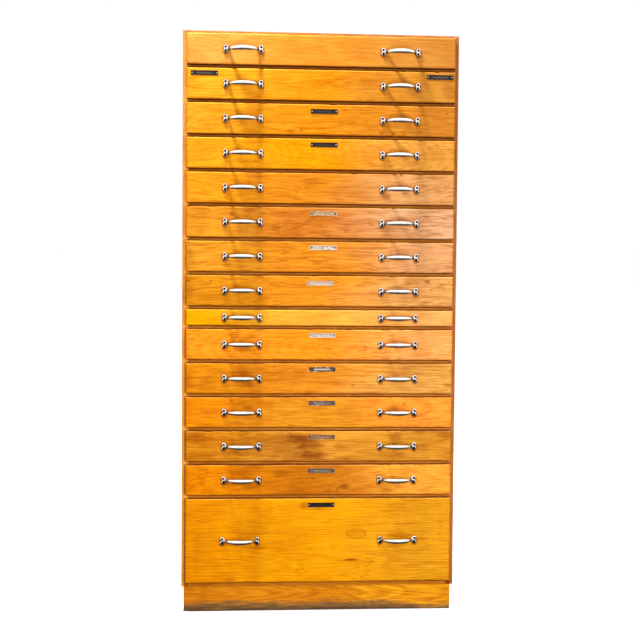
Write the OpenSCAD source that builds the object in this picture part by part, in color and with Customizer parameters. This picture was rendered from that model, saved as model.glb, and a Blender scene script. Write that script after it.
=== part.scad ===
// Flat file cabinet: fifteen wooden drawers with overlay fronts in a plain panelled case.
// The cabinet stands on z = 0 with its fronts towards -Y and its width along X.
// The origin is the centre of its footprint, counted from the pulls to the back.

/* [Case] */
// Width across the two side panels
case_w = 762; // [720:1:820]
// Depth from the case's front edges to its back
case_d = 610; // [600:1:700]
// Thickness of the side, top and bottom panels
panel_t = 19; // [16:1:22]
// Thickness of the plywood back
back_t = 6; // [5:1:9]
// Height of the plinth under the bottom panel
plinth_h = 72; // [65:1:100]
// How far the plinth stands in from the case's sides and back
plinth_inset = 6; // [0:1:20]
// How far the plinth stands in from the case's front
toe_inset = 8; // [0:1:30]

/* [Drawer fronts] */
// Number of shallow drawers above the thin one
shallow_above = 8; // [4:1:8]
// Number of shallow drawers between the thin one and the deep one
shallow_below = 5; // [1:1:5]
// Height of a shallow front
shallow_h = 84; // [75:1:100]
// Height of the thin front
thin_h = 44; // [40:1:60]
// Height of the deep front at the bottom
deep_h = 234; // [150:1:300]
// Thickness of a front
front_t = 19; // [16:1:22]
// Gap between two fronts
front_gap = 10; // [6:1:12]
// Case edge that shows at each end of a front
side_reveal = 11; // [8:1:14]
// Top panel edge that shows above the first front
top_reveal = 9.5; // [6:0.5:12]
// Bottom panel edge that shows below the last front
bottom_reveal = 14.5; // [12:0.5:16]
// Radius of the eased edges of a front
edge_r = 3; // [1:0.5:6]

/* [Drawer boxes] */
// Depth of a drawer box behind the case's front edges
box_d = 560; // [550:1:590]
// Thickness of a box side and of the box back
box_t = 12; // [10:1:15]
// Thickness of the plywood bottom
sheet_t = 6; // [4:1:7]
// Height of the bottom sheet above the box's lower edge
sheet_rise = 6; // [4:1:8]
// How far a drawer pulls out before it meets its stop
travel = 470; // [400:5:470]
// Depth of the front rails between the openings
rail_d = 60; // [40:1:65]
// Thickness of the rails and the runners
rail_t = 19; // [16:1:19]
// Width of a runner
runner_w = 25; // [20:1:35]

/* [Pulls and labels] */
// Distance between the two pulls of a drawer
pull_spacing = 432; // [400:1:460]
// Distance between the two pulls of the deep drawer
deep_pull_spacing = 439; // [400:1:460]
// Distance between the two feet of a pull
foot_spacing = 97; // [90:1:110]
// Distance between the two screws of one foot
screw_spacing = 10.8; // [10.4:0.1:11.2]
// How far a pull stands out from the front
pull_rise = 30; // [26:1:36]
// Height of the grip at its middle
grip_h = 11.5; // [10:0.5:14]
// Height of the grip at the feet
grip_end_h = 7; // [6:0.5:9]
// Length of a label plate
label_w = 74; // [60:1:80]
// Height of a label plate
label_h = 12.7; // [10:0.1:16]

/* [Hidden] */
$fn = 48;

// Clearances
closing_gap = 0.5; // between a closed front and the case
slide_gap = 0.5;   // under a drawer box
kick_gap = 4;      // over a drawer box
guide_gap = 1;     // at each side of a drawer box
fit = 0.15;        // round a tongue, a pin or a glued board
stop_gap = 0.5;    // between a stop and the box back at full travel

// Levels along Y
overall_d = case_d + closing_gap + front_t + pull_rise;
back_y = overall_d / 2;
case_y = back_y - case_d;
front_back_y = case_y - closing_gap;
face_y = front_back_y - front_t;

// Levels along X
inner_x = case_w / 2 - panel_t;
front_half_w = case_w / 2 - side_reveal;
box_half_w = inner_x - guide_gap;

// Rows of drawers, numbered from the top
thin_drawer = shallow_above + 1;
deep_drawer = thin_drawer + shallow_below + 1;
drawers = [1 : deep_drawer];
function front_h(d) = d == thin_drawer ? thin_h : d == deep_drawer ? deep_h : shallow_h;
function stack_below(d) = d == deep_drawer ? 0 : front_h(d + 1) + front_gap + stack_below(d + 1);
function front_z(d) = plinth_h + bottom_reveal + stack_below(d);
case_top = front_z(1) + front_h(1) + top_reveal;

// Rail d lies under drawer d, behind the gap below its front
rails = [1 : deep_drawer - 1];
function rail_z(d) = front_z(d) - front_gap / 2 - rail_t / 2;
function opening_floor(d) = d == deep_drawer ? plinth_h + panel_t : rail_z(d) + rail_t;
function opening_top(d) = d == 1 ? case_top - panel_t : rail_z(d - 1);

// Drawer boxes
groove = 5;        // depth of the grooves that hold the bottom sheet
dado = 6;          // depth of the dados in the front that hold the box sides
box_back_y = case_y + box_d;
function box_floor(d) = opening_floor(d) + slide_gap;
function box_top(d) = opening_top(d) - kick_gap;
function sheet_z(d) = box_floor(d) + sheet_rise;

// Stops: blocks behind the rails that the box backs meet
stop_w = 40;
stop_drop = 8;     // how far a stop hangs into its opening
stop_y = box_back_y - box_t - travel - stop_gap;

// Back panel, let into a rabbet round the case and screwed on
rabbet = 9;        // case material left outside the back panel
back_screw_in = 5; // from the back panel's edge to its screws
back_screw_head_r = 3.5;
back_screw_head_h = 1.6;
back_screw_r = 1.5;
back_screw_l = 16;
side_screws = 8;
end_screws = 4;

// Plinth
plinth_t = 19;
corner_block = 45;
corner_block_h = 60;

// Pulls: a bow between two feet of two lobes each
foot_x = foot_spacing / 2;
foot_screw_z = screw_spacing / 2;
lobe_r = 6;
foot_t = 4;
neck_r = 6;
neck_in = 4;       // from the screws to the neck's centre
bow_outer_half = foot_x - 3;
bow_inner_half = foot_x - 11;
bow_inner_rise = pull_rise - 9;
pull_screw_r = 1.9;
pull_screw_in = 12;
pull_screw_head_r = 3.3;
pull_screw_head_h = 1.6;

// Label plates, each held by a pin at both ends
label_t = 0.8;
label_drop = 16;   // from the top of a front to the plate's middle
label_shift = 6;   // right of the middle of the front
pin_in = 4;
pin_r = 0.8;
pin_l = 6;
pin_head_r = 1.7;
pin_head_h = 0.7;
labelled = [3, 4, 6, 7, 8, 10, 11, 12, 13, 14, 15];
end_label_drop = 14;
left_label_x = -front_half_w + 11 + label_w / 2;
right_label_x = front_half_w - 7 - label_w / 2;

function pull_half_spacing(d) = (d == deep_drawer ? deep_pull_spacing : pull_spacing) / 2;
function is_labelled(d) = len([for (n = labelled) if (n == d) n]) > 0;
function label_places(d) = d == 2 ? [[left_label_x, end_label_drop], [right_label_x, end_label_drop]]
    : d == 3 ? [[label_shift, label_drop + 3]]
    : d == 8 ? [[-1, label_drop + 4]]
    : d == deep_drawer ? [[label_shift, label_drop + 2]]
    : is_labelled(d) ? [[label_shift, label_drop]] : [];

// Colours
face_colour = "#eda431";
edge_colour = "#c98541";
rail_colour = "#a8642b";
inside_colour = "#d8b47a";
metal_colour = "#d4d4d6";
screw_colour = "#2b2724";
label_colour = "#35302c";

function two_digits(n) = n < 10 ? str("0", n) : str(n);
function drawer_name(d, piece) = str("drawer_", two_digits(d), "_", piece);
CASE_NODES = [
    "left_side_panel", "right_side_panel", "top_panel", "bottom_panel", "back_panel",
    "back_panel_screws", "front_rails", "left_runners", "right_runners", "drawer_stops",
    "plinth_front", "plinth_left", "plinth_right", "plinth_back", "plinth_corner_blocks"
];
DRAWER_PIECES = ["front", "box", "hardware"];

// ---- Helpers ----

module board(low, high) {
    translate(low) cube(high - low);
}

// Extrudes an outline drawn in X and Z along Y
module along_y(low, high) {
    translate([0, high, 0]) rotate([90, 0, 0]) linear_extrude(high - low) children();
}

// Extrudes an outline drawn in Y and Z along X
module along_x(low, high) {
    translate([low, 0, 0]) rotate([90, 0, 90]) linear_extrude(high - low) children();
}

// A cylinder along Y, from the face at y = 0 outwards
module outward_disc(r, h) {
    rotate([90, 0, 0]) cylinder(h = h, r = r);
}

// A screw or pin: head above the origin, shank below it
module headed_pin(head_r, head_h, shank_r, shank_l) {
    dome_r = (head_r * head_r + head_h * head_h) / (2 * head_h);
    rotate_extrude() {
        translate([0, -shank_l]) square([shank_r, shank_l + head_h / 2]);
        intersection() {
            translate([0, head_h - dome_r]) circle(r = dome_r);
            square([head_r, head_h]);
        }
    }
}

// ---- Case ----

module back_panel_blank() {
    x = case_w / 2 - rabbet;
    board([-x, back_y - back_t, plinth_h + rabbet], [x, back_y, case_top - rabbet]);
}

// Calls its children at every screw of the back panel, on the panel's outer face
module back_screw_places() {
    x = case_w / 2 - rabbet - back_screw_in;
    low = plinth_h + rabbet + back_screw_in;
    high = case_top - rabbet - back_screw_in;
    side_step = (high - low) / side_screws;
    end_step = 2 * x / end_screws;
    for (side = [-1, 1], i = [0 : side_screws - 1])
        translate([side * x, back_y, low + (i + 0.5) * side_step]) children();
    for (z = [low, high], i = [0 : end_screws - 1])
        translate([-x + (i + 0.5) * end_step, back_y, z]) children();
}

module back_screw_pilots() {
    back_screw_places() outward_disc(back_screw_r + fit / 3, back_screw_l + 1);
}

// side is -1 for the left panel and 1 for the right one
module side_panel(side) {
    outer_x = case_w / 2;
    color(edge_colour) difference() {
        along_y(case_y, back_y) polygon([
            [side * inner_x, plinth_h], [side * outer_x, plinth_h],
            [side * outer_x, case_top], [side * inner_x, case_top - panel_t]
        ]);
        back_panel_blank();
        back_screw_pilots();
    }
}

module left_side_panel() {
    side_panel(-1);
}

module right_side_panel() {
    side_panel(1);
}

// The top panel meets the side panels in mitres
module top_panel() {
    color(edge_colour) difference() {
        along_y(case_y, back_y) polygon([
            [-inner_x, case_top - panel_t], [inner_x, case_top - panel_t],
            [case_w / 2, case_top], [-case_w / 2, case_top]
        ]);
        back_panel_blank();
        back_screw_pilots();
    }
}

module bottom_panel() {
    color(edge_colour) difference() {
        board([-inner_x, case_y, plinth_h], [inner_x, back_y, plinth_h + panel_t]);
        back_panel_blank();
        back_screw_pilots();
    }
}

module back_panel() {
    color(inside_colour) difference() {
        back_panel_blank();
        back_screw_places() {
            outward_disc(back_screw_r + fit, back_t + 1);
            outward_disc(back_screw_head_r + fit, back_screw_head_h + fit);
        }
    }
}

module back_panel_screws() {
    color(screw_colour) back_screw_places() translate([0, -back_screw_head_h, 0])
        rotate([-90, 0, 0])
            headed_pin(back_screw_head_r, back_screw_head_h, back_screw_r, back_screw_l - back_screw_head_h);
}

module front_rails() {
    color(rail_colour) for (d = rails)
        board([-inner_x, case_y, rail_z(d)], [inner_x, case_y + rail_d, rail_z(d) + rail_t]);
}

// side is -1 for the left runners and 1 for the right ones
module runners(side) {
    color(rail_colour) for (d = rails)
        translate([side < 0 ? -inner_x : inner_x - runner_w, case_y + rail_d, rail_z(d)])
            cube([runner_w, case_d - rail_d - back_t, rail_t]);
}

module left_runners() {
    runners(-1);
}

module right_runners() {
    runners(1);
}

module drawer_stops() {
    color(rail_colour) for (d = drawers) {
        root_z = d == 1 ? opening_top(d) : opening_top(d) + rail_t;
        board([-stop_w / 2, case_y + rail_d, opening_top(d) - stop_drop], [stop_w / 2, stop_y, root_z]);
    }
}

// ---- Plinth ----

plinth_x = case_w / 2 - plinth_inset;
plinth_front_y = case_y + toe_inset;
plinth_back_y = back_y - plinth_inset;

module plinth_front() {
    color(face_colour)
        board([-plinth_x, plinth_front_y, 0], [plinth_x, plinth_front_y + plinth_t, plinth_h]);
}

module plinth_back() {
    color(edge_colour)
        board([-plinth_x, plinth_back_y - plinth_t, 0], [plinth_x, plinth_back_y, plinth_h]);
}

// side is -1 for the left board and 1 for the right one
module plinth_side(side) {
    color(edge_colour) translate([side < 0 ? -plinth_x : plinth_x - plinth_t, 0, 0])
        board([0, plinth_front_y + plinth_t, 0], [plinth_t, plinth_back_y - plinth_t, plinth_h]);
}

module plinth_left() {
    plinth_side(-1);
}

module plinth_right() {
    plinth_side(1);
}

// Three-cornered glue blocks inside the plinth's corners, up against the bottom panel
module plinth_corner_blocks() {
    x = plinth_x - plinth_t;
    color(inside_colour) translate([0, 0, plinth_h - corner_block_h]) linear_extrude(corner_block_h)
        for (side = [-1, 1], end = [-1, 1]) {
            y = end < 0 ? plinth_front_y + plinth_t : plinth_back_y - plinth_t;
            polygon([[side * x, y], [side * (x - corner_block), y], [side * x, y - end * corner_block]]);
        }
}

// ---- Drawers ----

// A board's section with its two outer corners eased: depth along the first axis, from the face
module eased_section(depth, width) {
    translate([edge_r, -width / 2]) square([depth - edge_r, width]);
    translate([0, edge_r - width / 2]) square([depth, width - 2 * edge_r]);
    for (side = [-1, 1]) translate([edge_r, side * (width / 2 - edge_r)]) circle(r = edge_r);
}

module eased_board(d) {
    middle_z = front_z(d) + front_h(d) / 2;
    intersection() {
        along_x(-front_half_w, front_half_w)
            translate([face_y, middle_z]) eased_section(front_t, front_h(d));
        translate([0, face_y, front_z(d)]) linear_extrude(front_h(d))
            rotate(90) eased_section(front_t, 2 * front_half_w);
    }
}

// Dados for the box sides and a groove for the bottom sheet
module front_joinery(d) {
    side_in = box_half_w - box_t;
    for (side = [-1, 1])
        translate([side < 0 ? -box_half_w - fit : side_in - fit, front_back_y - dado, box_floor(d) - fit])
            cube([box_t + 2 * fit, dado + 1, box_top(d) - box_floor(d) + 2 * fit]);
    board([-side_in - 1, front_back_y - groove, sheet_z(d) - fit],
        [side_in + 1, front_back_y + 1, sheet_z(d) + sheet_t + fit]);
}

// Calls its children at each pull, on the face of the front
module pull_places(d) {
    for (side = [-1, 1])
        translate([side * pull_half_spacing(d), face_y, front_z(d) + front_h(d) / 2]) children();
}

// Calls its children at each screw of one pull
module pull_screw_places() {
    for (side = [-1, 1], level = [-1, 1])
        translate([side * foot_x, 0, level * foot_screw_z]) children();
}

// Calls its children at the middle of each label plate, on the face of the front
module label_centres(d) {
    for (place = label_places(d))
        translate([place[0], face_y, front_z(d) + front_h(d) - place[1]]) children();
}

// Calls its children at each pin of one label plate
module pin_places() {
    for (side = [-1, 1]) translate([side * (label_w / 2 - pin_in), 0, 0]) children();
}

module drawer_front(d) {
    color(face_colour) difference() {
        eased_board(d);
        front_joinery(d);
        pull_places(d) pull_screw_places() translate([0, pull_screw_in + 1, 0])
            outward_disc(pull_screw_r + fit / 3, pull_screw_in + 2);
        label_centres(d) pin_places() translate([0, pin_l + 1, 0])
            outward_disc(pin_r + fit / 3, pin_l + 2);
    }
}

// One box side, with the groove for the bottom sheet on its inner face
module box_side(d, side) {
    inner = box_half_w - box_t;
    mirror([side < 0 ? 1 : 0, 0, 0]) difference() {
        board([inner, front_back_y - dado + fit, box_floor(d)], [box_half_w, box_back_y, box_top(d)]);
        board([inner - 1, front_back_y - dado, sheet_z(d) - fit],
            [inner + groove, box_back_y + 1, sheet_z(d) + sheet_t + fit]);
    }
}

module drawer_box(d) {
    inner = box_half_w - box_t;
    sheet_x = inner + groove - fit;
    color(inside_colour) {
        box_side(d, -1);
        box_side(d, 1);
        board([-sheet_x, front_back_y - groove + fit, sheet_z(d)],
            [sheet_x, box_back_y, sheet_z(d) + sheet_t]);
        board([fit - inner, box_back_y - box_t, sheet_z(d) + sheet_t + fit],
            [inner - fit, box_back_y, box_top(d)]);
    }
}

// ---- Pulls, screws and label plates ----

// Radius of an arc from half its chord and its rise
function arc_r(half_chord, rise) = (half_chord * half_chord + rise * rise) / (2 * rise);

module pull_foot() {
    for (level = [-1, 1]) translate([0, 0, level * foot_screw_z]) outward_disc(lobe_r, foot_t);
}

// The grip bows outwards between two arcs and swells between two more, seen from the front
module pull_grip() {
    outer_r = arc_r(bow_outer_half, pull_rise);
    inner_r = arc_r(bow_inner_half, bow_inner_rise);
    swell_r = arc_r(bow_inner_half, (grip_h - grip_end_h) / 2);
    intersection() {
        translate([0, 0, -grip_h]) linear_extrude(2 * grip_h) intersection() {
            difference() {
                translate([0, outer_r - pull_rise]) circle(r = outer_r);
                translate([0, inner_r - bow_inner_rise]) circle(r = inner_r);
            }
            translate([-foot_x, -pull_rise]) square([foot_spacing, pull_rise]);
        }
        for (level = [-1, 1]) translate([0, 1, level * (grip_h / 2 - swell_r)])
            outward_disc(swell_r, pull_rise + 2);
    }
}

module pull() {
    difference() {
        union() {
            for (side = [-1, 1]) {
                translate([side * foot_x, 0, 0]) pull_foot();
                translate([side * (foot_x - neck_in), 0, 0]) outward_disc(neck_r, foot_t);
            }
            pull_grip();
        }
        pull_screw_places() translate([0, 1, 0]) outward_disc(pull_screw_r + fit, foot_t + 2);
    }
}

module label_plate() {
    difference() {
        board([-label_w / 2, -label_t, -label_h / 2], [label_w / 2, 0, label_h / 2]);
        pin_places() translate([0, 1, 0]) outward_disc(pin_r + fit, label_t + 2);
    }
}

module drawer_hardware(d) {
    color(metal_colour) pull_places(d) pull();
    color(screw_colour) pull_places(d) pull_screw_places() translate([0, -foot_t - fit, 0])
        rotate([90, 0, 0])
            headed_pin(pull_screw_head_r, pull_screw_head_h, pull_screw_r, foot_t + fit + pull_screw_in);
    color(label_colour) label_centres(d) label_plate();
    color(metal_colour) label_centres(d) pin_places() translate([0, -label_t - fit, 0])
        rotate([90, 0, 0]) headed_pin(pin_head_r, pin_head_h, pin_r, label_t + fit + pin_l);
}

// ---- Nodes ----

left_side_panel();
right_side_panel();
top_panel();
bottom_panel();
back_panel();
back_panel_screws();
front_rails();
left_runners();
right_runners();
drawer_stops();
plinth_front();
plinth_left();
plinth_right();
plinth_back();
plinth_corner_blocks();
for (d = drawers) {
    drawer_front(d);
    drawer_box(d);
    drawer_hardware(d);
}
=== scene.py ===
"""Looks for the flat file cabinet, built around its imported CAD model."""
import math
import random

import bmesh
import bpy
from mathutils import Matrix, Vector, noise


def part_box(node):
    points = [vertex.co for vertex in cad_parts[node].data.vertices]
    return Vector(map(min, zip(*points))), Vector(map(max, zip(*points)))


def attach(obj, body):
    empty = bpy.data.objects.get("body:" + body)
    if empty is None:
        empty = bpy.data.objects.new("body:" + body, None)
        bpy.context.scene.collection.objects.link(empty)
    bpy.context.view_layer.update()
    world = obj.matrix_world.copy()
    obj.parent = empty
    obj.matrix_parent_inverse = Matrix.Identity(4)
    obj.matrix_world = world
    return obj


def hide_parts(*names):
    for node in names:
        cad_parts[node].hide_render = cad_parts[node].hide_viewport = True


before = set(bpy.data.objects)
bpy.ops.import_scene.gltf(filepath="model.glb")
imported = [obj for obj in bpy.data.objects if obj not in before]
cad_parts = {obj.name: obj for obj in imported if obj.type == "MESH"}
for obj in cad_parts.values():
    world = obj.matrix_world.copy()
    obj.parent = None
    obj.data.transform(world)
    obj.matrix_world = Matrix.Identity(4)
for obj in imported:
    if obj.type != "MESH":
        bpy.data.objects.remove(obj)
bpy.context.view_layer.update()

# ----- Sizes in metres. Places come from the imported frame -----

DRAWERS = range(1, 16)
THIN_DRAWER = 9
DEEP_DRAWER = 15
TWO_LABELS = 2                     # the drawer with a plate at each end
NO_LABEL = (1, 5, THIN_DRAWER)

PULL_HALF_SPACING = 0.216          # from the cabinet's middle to the middle of a pull
DEEP_PULL_HALF_SPACING = 0.2195    # and on the deep drawer
FOOT_X = 0.0485         # from a pull's middle to its screws
FOOT_SCREW_Z = 0.0054   # from the height of a pull's middle up or down to its screws
SCREW_SEAT = 0.0033     # from a front's face out to the seats of the pull screws
LABEL_SIZE = (0.074, 0.0127)
LABEL_THICKNESS = 0.0008
LABEL_PIN_IN = 0.004    # from a plate's end to its pin

case_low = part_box("left_side_panel")[0]
case_front_y = case_low.y
case_half_width = -case_low.x
front_box = {d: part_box(f"drawer_{d:02d}_front") for d in DRAWERS}
face_y = front_box[1][0].y


def body_name(d):
    """The CAD body of a drawer."""
    return f"drawer_{d:02d}"


def pull_centres(d):
    """The middles of a drawer's two pulls, on the face of its front."""
    half = DEEP_PULL_HALF_SPACING if d == DEEP_DRAWER else PULL_HALF_SPACING
    z = (front_box[d][0].z + front_box[d][1].z) / 2
    return {"left": Vector((-half, face_y, z)), "right": Vector((half, face_y, z))}


def label_centres(d):
    """The middles of a drawer's label plates, on the face of its front."""
    if d in NO_LABEL:
        return []
    top = front_box[d][1].z
    if d == TWO_LABELS:
        drop = 0.014
        half_front = front_box[d][1].x
        half_label = LABEL_SIZE[0] / 2
        return [Vector((0.011 - half_front + half_label, face_y, top - drop)),
                Vector((half_front - 0.007 - half_label, face_y, top - drop))]
    drop = {3: 0.019, 8: 0.020, DEEP_DRAWER: 0.018}.get(d, 0.016)
    across = -0.001 if d == 8 else 0.006
    return [Vector((across, face_y, top - drop))]


# ----- Procedural materials -----

def colour(code):
    """A linear colour from a web colour such as #c08040."""
    parts = [int(code[i:i + 2], 16) / 255 for i in (1, 3, 5)]
    return tuple(c / 12.92 if c <= 0.04045 else ((c + 0.055) / 1.055) ** 2.4 for c in parts) + (1.0,)


class Paint:
    """The nodes of one procedural material. Places are in the cabinet's frame, in metres."""

    def __init__(self, name):
        self.material = bpy.data.materials.new(name)
        self.material.use_nodes = True
        self.tree = self.material.node_tree
        self.shader = self.tree.nodes["Principled BSDF"]
        self.place = self.tree.nodes.new("ShaderNodeTexCoord").outputs["Object"]

    def plug(self, socket, value):
        """Links a socket to another, or sets it to a plain value."""
        if isinstance(value, bpy.types.NodeSocket):
            self.tree.links.new(value, socket)
        else:
            socket.default_value = value

    def node(self, kind, inputs=(), **settings):
        """Adds a node with its inputs and settings."""
        made = self.tree.nodes.new(kind)
        for key, value in settings.items():
            setattr(made, key, value)
        for key, value in dict(inputs).items():
            self.plug(made.inputs[key], value)
        return made

    def math(self, operation, a, b=0.0, c=0.0):
        return self.node("ShaderNodeMath", {0: a, 1: b, 2: c}, operation=operation).outputs[0]

    def vector(self, operation, a, b):
        return self.node("ShaderNodeVectorMath", {0: a, 1: b}, operation=operation).outputs["Vector"]

    def split(self, vector):
        return self.node("ShaderNodeSeparateXYZ", {0: vector}).outputs

    def join(self, x, y, z):
        return self.node("ShaderNodeCombineXYZ", {0: x, 1: y, 2: z}).outputs[0]

    def noise(self, place, scale, detail=2.0, roughness=0.5):
        """Noise about 0.5. scale is a vector of features per metre along each axis."""
        scaled = self.vector("MULTIPLY", place, scale)
        inputs = {"Vector": scaled, "Scale": 1.0, "Detail": detail, "Roughness": roughness}
        return self.node("ShaderNodeTexNoise", inputs).outputs["Fac"]

    def ramp(self, value, low, high, bottom=0.0, top=1.0):
        """A smooth step from bottom to top as value goes from low to high."""
        inputs = {"Value": value, "From Min": low, "From Max": high, "To Min": bottom, "To Max": top}
        return self.node("ShaderNodeMapRange", inputs, interpolation_type="SMOOTHSTEP").outputs[0]

    def mix(self, share, a, b, blend="MIX"):
        made = self.node("ShaderNodeMix", data_type="RGBA", blend_type=blend)
        self.plug(made.inputs["Factor"], share)
        self.plug(made.inputs[6], a)
        self.plug(made.inputs[7], b)
        return made.outputs[2]

    def bump(self, height, distance, strength):
        inputs = {"Height": height, "Distance": distance, "Strength": strength}
        self.plug(self.shader.inputs["Normal"], self.node("ShaderNodeBump", inputs).outputs[0])

    def finish(self, **values):
        for key, value in values.items():
            self.plug(self.shader.inputs[key.replace("_", " ")], value)
        return self.material

    def nudge(self, value, pattern, weight):
        """The value, moved by a weighted pattern that is counted from 0.5."""
        return self.math("MULTIPLY_ADD", self.math("SUBTRACT", pattern, 0.5), weight, value)

    def sum(self, *terms):
        """The sum of (pattern, weight) pairs, each pattern counted from 0.5."""
        total = 0.0
        for pattern, weight in terms:
            total = self.nudge(total, pattern, weight)
        return total

    def apart(self, a, b):
        """How far apart two values are."""
        return self.math("ABSOLUTE", self.math("SUBTRACT", a, b))

    def reach(self, across, up):
        """The length of a slanted line, from its two legs."""
        squares = self.math("MULTIPLY_ADD", across, across, self.math("MULTIPLY", up, up))
        return self.math("SQRT", squares)

    def times(self, tint, share):
        """A colour times a share for each of its channels."""
        return self.mix(1.0, tint, share, "MULTIPLY")

    def tone_down(self, where, tint, share):
        """The colour, changed to a share of itself where the first value is 1."""
        return self.mix(where, tint, self.times(tint, share))


VARNISH = (1.0, 0.72, 0.25, 1.0)         # the warm tint of light mirrored by old varnish
PALE_SHARE = (1.10, 1.14, 1.2, 1.0)      # how many times as bright as each tone its palest wood is
DEEP_SHARE = (0.68, 0.48, 0.32, 1.0)     # how much of each tone the darker wood keeps
GRIME_AND_SHADOW_SHARE = (0.44, 0.24, 0.15, 1.0)    # and how much old grime and painted shadow let through
SOOT_AND_SHADE_SHARE = (0.14, 0.06, 0.02, 1.0)     # and the dirt and painted shade of a crevice
BARE_WOOD_AND_HIGHLIGHT = (0.80, 0.60, 0.30, 1.0)      # wood with its varnish rubbed off, and a painted highlight along the top edges of the fronts
GRAIN_BEND = 0.06                        # how far the grain wanders from straight, in metres
LATE_WOOD = 0.62                         # how far into each growth ring its darkest line lies


def along_grain(paint, grain, rng):
    """Coordinates with the grain along the first axis, shifted to a part of the pattern of its own."""
    x, y, z = paint.split(paint.place)[:3]
    turned = {"X": (x, y, z), "Y": (y, x, z), "Z": (z, y, x)}[grain]
    shift = [rng.uniform(-9, 9) for _ in range(3)]
    return paint.vector("ADD", paint.join(*turned), shift)


def grained(paint, place, along, across, detail=2.0, roughness=0.5):
    """Noise drawn out along the grain. along and across are its features per metre."""
    return paint.noise(place, (along, across, across), detail, roughness)


def ring_pattern(paint, grain, centre, depth, slope, spacing, wave, rng):
    """Growth rings of a board sawn beside the pith: arches where its face cuts across them.

    centre is the point on the board, along and across its grain, that the arches gather round.
    depth is the distance to the pith there, and slope is the taper of the log.
    """
    x, y, z = paint.split(paint.place)[:3]
    along, across = {"X": (x, z), "Y": (y, x), "Z": (z, x)}[grain]
    shift = rng.uniform(-5, 5)
    wander = paint.noise(paint.join(along, shift, across), (4.0, 1.0, 16.0), detail=3.0)
    swell = paint.noise(paint.join(along, across, shift), (5.0, 5.0, 1.0))
    across = paint.nudge(paint.math("SUBTRACT", across, centre[1]), wander, wave)
    inward = paint.math("MULTIPLY_ADD", paint.math("SUBTRACT", along, centre[0]), slope, depth)
    inward = paint.nudge(inward, swell, 2 * wave)
    ring = paint.math("FRACT", paint.math("DIVIDE", paint.reach(across, inward), spacing))
    return paint.ramp(paint.apart(ring, LATE_WOOD), 0.0, 0.5, 1.0, 0.0)


def wood(name, tint, seed, grain="X", figure=0.1, streak=0.3, blotch=0.5, curl=0.12, pores=0.3,
         roughness=0.57, shine=0.14, centre=(0.0, 0.0), depth=0.03, slope=0.03, spacing=0.006,
         wave=0.012, after=None):
    """Varnished wood: fibres, pores, growth rings, blotches and cross-grain curl.

    tint is a colour, or a function that makes one from the paint. after, if given, changes the
    finished colour; it is called with the paint and the colour.
    """
    rng = random.Random(seed)
    paint = Paint(name)
    place = along_grain(paint, grain, rng)
    bend = paint.math("MULTIPLY", grained(paint, place, 2.6, 7), GRAIN_BEND)
    place = paint.vector("ADD", place, paint.join(0.0, bend, bend))
    fibres = grained(paint, place, 4.5, 360, 3, 0.6)
    fine = grained(paint, place, 30, 800)
    patches = grained(paint, place, 4, 16, 4, 0.6)
    mottle = grained(paint, place, 14, 60, 5, 0.65)
    strokes = grained(paint, place, 18, 320, 2, 0.6)
    strokes = paint.nudge(0.5, strokes, paint.ramp(grained(paint, place, 4, 20), 0.35, 0.65, 0.2, 1.6))
    ripple = grained(paint, place, 50, 11)
    ripple = paint.nudge(0.5, ripple, paint.ramp(grained(paint, place, 2.5, 6), 0.45, 0.65))
    arches = ring_pattern(paint, grain, centre, depth, slope, spacing, wave, rng)
    arches = paint.nudge(0.5, arches, paint.ramp(patches, 0.35, 0.65, 0.35, 1.0))
    tone = paint.sum((patches, 1.3 * blotch), (mottle, 1.9 * blotch), (fibres, 4.2 * streak),
                     (strokes, 2.2 * streak), (arches, 1.8 * figure), (ripple, 2.0 * curl), (fine, 0.25))
    base = tint(paint) if callable(tint) else tint
    deep = paint.times(base, DEEP_SHARE)
    made = paint.mix(paint.ramp(tone, -0.55, 0.45), deep, paint.times(base, PALE_SHARE))
    dashes = paint.ramp(grained(paint, place, 45, 1300, 1), 0.64, 0.78)
    dashes = paint.math("MULTIPLY", dashes, paint.ramp(patches, 0.62, 0.40, 0.25, 1.0))
    made = paint.mix(paint.math("MULTIPLY", dashes, pores), made, paint.times(deep, GRIME_AND_SHADOW_SHARE))
    if after:
        made = after(paint, made)
    height = paint.sum((fibres, 0.5), (fine, 0.25), (dashes, -0.6), (patches, 0.5))
    paint.bump(height, 0.0003, 0.4)
    rough = paint.math("ADD", paint.sum((patches, -0.15), (fine, 0.15), (dashes, 0.25)), roughness)
    return paint.finish(Base_Color=made, Roughness=rough, Specular_IOR_Level=shine,
                        Specular_Tint=VARNISH)


def oval(paint, place, size):
    """How far each point of a front is from an oval's middle: 0 there, and 1 on the oval.

    place and size are across and up, in metres.
    """
    x, _, z = paint.split(paint.place)[:3]
    across = paint.math("DIVIDE", paint.math("SUBTRACT", x, place[0]), size[0])
    up = paint.math("DIVIDE", paint.math("SUBTRACT", z, place[1]), size[1])
    return paint.reach(across, up)


def mark(paint, tint, place, size, strength, share=GRIME_AND_SHADOW_SHARE):
    """A stain or scuff on a front, with a ragged soft edge."""
    ragged = paint.noise(paint.place, (30.0, 1.0, 110.0), detail=4.0, roughness=0.65)
    edge = paint.nudge(oval(paint, place, size), ragged, 1.6)
    return paint.tone_down(paint.ramp(edge, 1.375, 0.25, 0.0, strength), tint, share)


# ----- Mesh helpers -----

def add_piece(name, mesh_maker, material, body, replaces=(), smooth_angle=40):
    """Makes an object from a bmesh, with its material, body and material slot."""
    mesh = bpy.data.meshes.new(name)
    mesh_maker.to_mesh(mesh)
    mesh_maker.free()
    piece = bpy.data.objects.new(name, mesh)
    bpy.context.scene.collection.objects.link(piece)
    mesh.materials.append(material)
    mesh.shade_smooth()
    mesh.set_sharp_from_angle(angle=math.radians(smooth_angle))
    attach(piece, body)
    if replaces:
        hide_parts(*replaces)


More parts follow.
